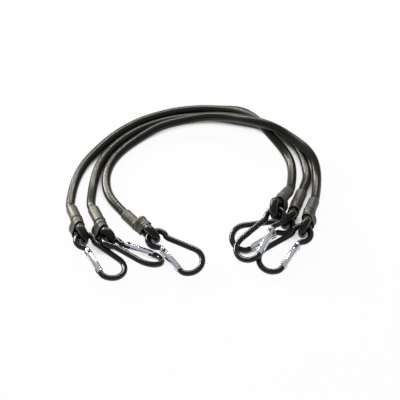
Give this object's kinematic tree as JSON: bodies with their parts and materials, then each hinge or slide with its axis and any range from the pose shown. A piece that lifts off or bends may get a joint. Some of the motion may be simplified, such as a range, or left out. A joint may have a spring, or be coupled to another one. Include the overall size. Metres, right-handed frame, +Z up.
{
  "type": "bungee cord set",
  "caption": "Set of braided elastic cords lying in one arch, each end looped in a shrunk sleeve and carrying a wire snap hook with a sprung gate, for lashing and tying down.",
  "frame": {"origin": "under the middle of the box of the hooks and sleeves, on the surface that the cords lie on", "axes": "+X along the longest extent, from the left ends to the right ends; +Y towards the back of the arch; +Z up"},
  "size_m": [0.2674, 0.2519, 0.0418],
  "materials": {
    "sheath": "fine braid, black-olive",
    "core": "matte rubber",
    "sleeve": "semi-matte shrunk tube",
    "clamp": "satin",
    "frame": "gloss black",
    "rivet": "dark steel",
    "gate": "polished",
    "latch_pin": "ground",
    "spring": "spring wire",
    "plunger": "turned"
  },
  "bodies": {
    "cord_set": {"sheath_1": "sheath", "core_1": "core", "sheath_2": "sheath", "core_2": "core", "sheath_3": "sheath", "core_3": "core", "sleeve_1_left": "sleeve", "clamp_1_left": "clamp", "sleeve_1_right": "sleeve", "clamp_1_right": "clamp", "sleeve_2_left": "sleeve", "clamp_2_left": "clamp", "sleeve_2_right": "sleeve", "clamp_2_right": "clamp", "sleeve_3_left": "sleeve", "clamp_3_left": "clamp", "sleeve_3_right": "sleeve", "clamp_3_right": "clamp"},
    "hook_1_left": {"frame_1_left": "frame", "rivet_1_left": "rivet"},
    "gate_1_left": {"gate_1_left": "gate", "latch_pin_1_left": "latch_pin", "spring_1_left": "spring", "plunger_1_left": "plunger"},
    "hook_1_right": {"frame_1_right": "frame", "rivet_1_right": "rivet"},
    "gate_1_right": {"gate_1_right": "gate", "latch_pin_1_right": "latch_pin", "spring_1_right": "spring", "plunger_1_right": "plunger"},
    "hook_2_left": {"frame_2_left": "frame", "rivet_2_left": "rivet"},
    "gate_2_left": {"gate_2_left": "gate", "latch_pin_2_left": "latch_pin", "spring_2_left": "spring", "plunger_2_left": "plunger"},
    "hook_2_right": {"frame_2_right": "frame", "rivet_2_right": "rivet"},
    "gate_2_right": {"gate_2_right": "gate", "latch_pin_2_right": "latch_pin", "spring_2_right": "spring", "plunger_2_right": "plunger"},
    "hook_3_left": {"frame_3_left": "frame", "rivet_3_left": "rivet"},
    "gate_3_left": {"gate_3_left": "gate", "latch_pin_3_left": "latch_pin", "spring_3_left": "spring", "plunger_3_left": "plunger"},
    "hook_3_right": {"frame_3_right": "frame", "rivet_3_right": "rivet"},
    "gate_3_right": {"gate_3_right": "gate", "latch_pin_3_right": "latch_pin", "spring_3_right": "spring", "plunger_3_right": "plunger"}
  },
  "joints": [
    {"name": "hook_1_left_swivel", "type": "hinge", "parent": "cord_set", "child": "hook_1_left", "pos_m": [-0.10983, -0.01226, 0.01456], "axis": [0.197, 0.0302, 0.9799], "range_deg": [-50, 0]},
    {"name": "gate_1_left_hinge", "type": "hinge", "parent": "hook_1_left", "child": "gate_1_left", "pos_m": [-0.10542, -0.02822, 0.01417], "axis": [0.197, 0.0302, 0.9799], "range_deg": [0, 30], "stiffness_Nm_per_rad": 0.08, "springref_deg": -20.05},
    {"name": "hook_1_right_swivel", "type": "hinge", "parent": "cord_set", "child": "hook_1_right", "pos_m": [0.08347, 0.00884, 0.02756], "axis": [-0.3179, -0.1812, 0.9307], "range_deg": [0, 50]},
    {"name": "gate_1_right_hinge", "type": "hinge", "parent": "hook_1_right", "child": "gate_1_right", "pos_m": [0.07921, -0.00653, 0.02312], "axis": [0.3179, 0.1812, -0.9307], "range_deg": [0, 30], "stiffness_Nm_per_rad": 0.08, "springref_deg": -20.05},
    {"name": "hook_2_left_swivel", "type": "hinge", "parent": "cord_set", "child": "hook_2_left", "pos_m": [-0.08203, -0.01266, 0.01276], "axis": [0.2715, 0.4294, 0.8613], "range_deg": [-50, 0]},
    {"name": "gate_2_left_hinge", "type": "hinge", "parent": "hook_2_left", "child": "gate_2_left", "pos_m": [-0.06612, -0.01382, 0.00832], "axis": [-0.2715, -0.4294, -0.8613], "range_deg": [0, 30], "stiffness_Nm_per_rad": 0.08, "springref_deg": -20.05},
    {"name": "hook_2_right_swivel", "type": "hinge", "parent": "cord_set", "child": "hook_2_right", "pos_m": [0.09307, 0.01154, 0.01186], "axis": [-0.057, -0.2295, 0.9716], "range_deg": [-34, 0]},
    {"name": "gate_2_right_hinge", "type": "hinge", "parent": "hook_2_right", "child": "gate_2_right", "pos_m": [0.08135, 0.00033, 0.00853], "axis": [0.057, 0.2295, -0.9716], "range_deg": [0, 30], "stiffness_Nm_per_rad": 0.08, "springref_deg": -20.05},
    {"name": "hook_3_left_swivel", "type": "hinge", "parent": "cord_set", "child": "hook_3_left", "pos_m": [-0.03653, -0.00796, 0.01266], "axis": [-0.0536, -0.2021, 0.9779], "range_deg": [0, 50]},
    {"name": "gate_3_left_hinge", "type": "hinge", "parent": "hook_3_left", "child": "gate_3_left", "pos_m": [-0.02957, -0.02275, 0.00999], "axis": [-0.0536, -0.2021, 0.9779], "range_deg": [0, 30], "stiffness_Nm_per_rad": 0.08, "springref_deg": -20.05},
    {"name": "hook_3_right_swivel", "type": "hinge", "parent": "cord_set", "child": "hook_3_right", "pos_m": [0.11087, -0.00296, 0.01466], "axis": [-0.0596, -0.1902, 0.9799], "range_deg": [0, 50]},
    {"name": "gate_3_right_hinge", "type": "hinge", "parent": "hook_3_right", "child": "gate_3_right", "pos_m": [0.10507, -0.01812, 0.01137], "axis": [0.0596, 0.1902, -0.9799], "range_deg": [0, 30], "stiffness_Nm_per_rad": 0.08, "springref_deg": -20.05}
  ]
}
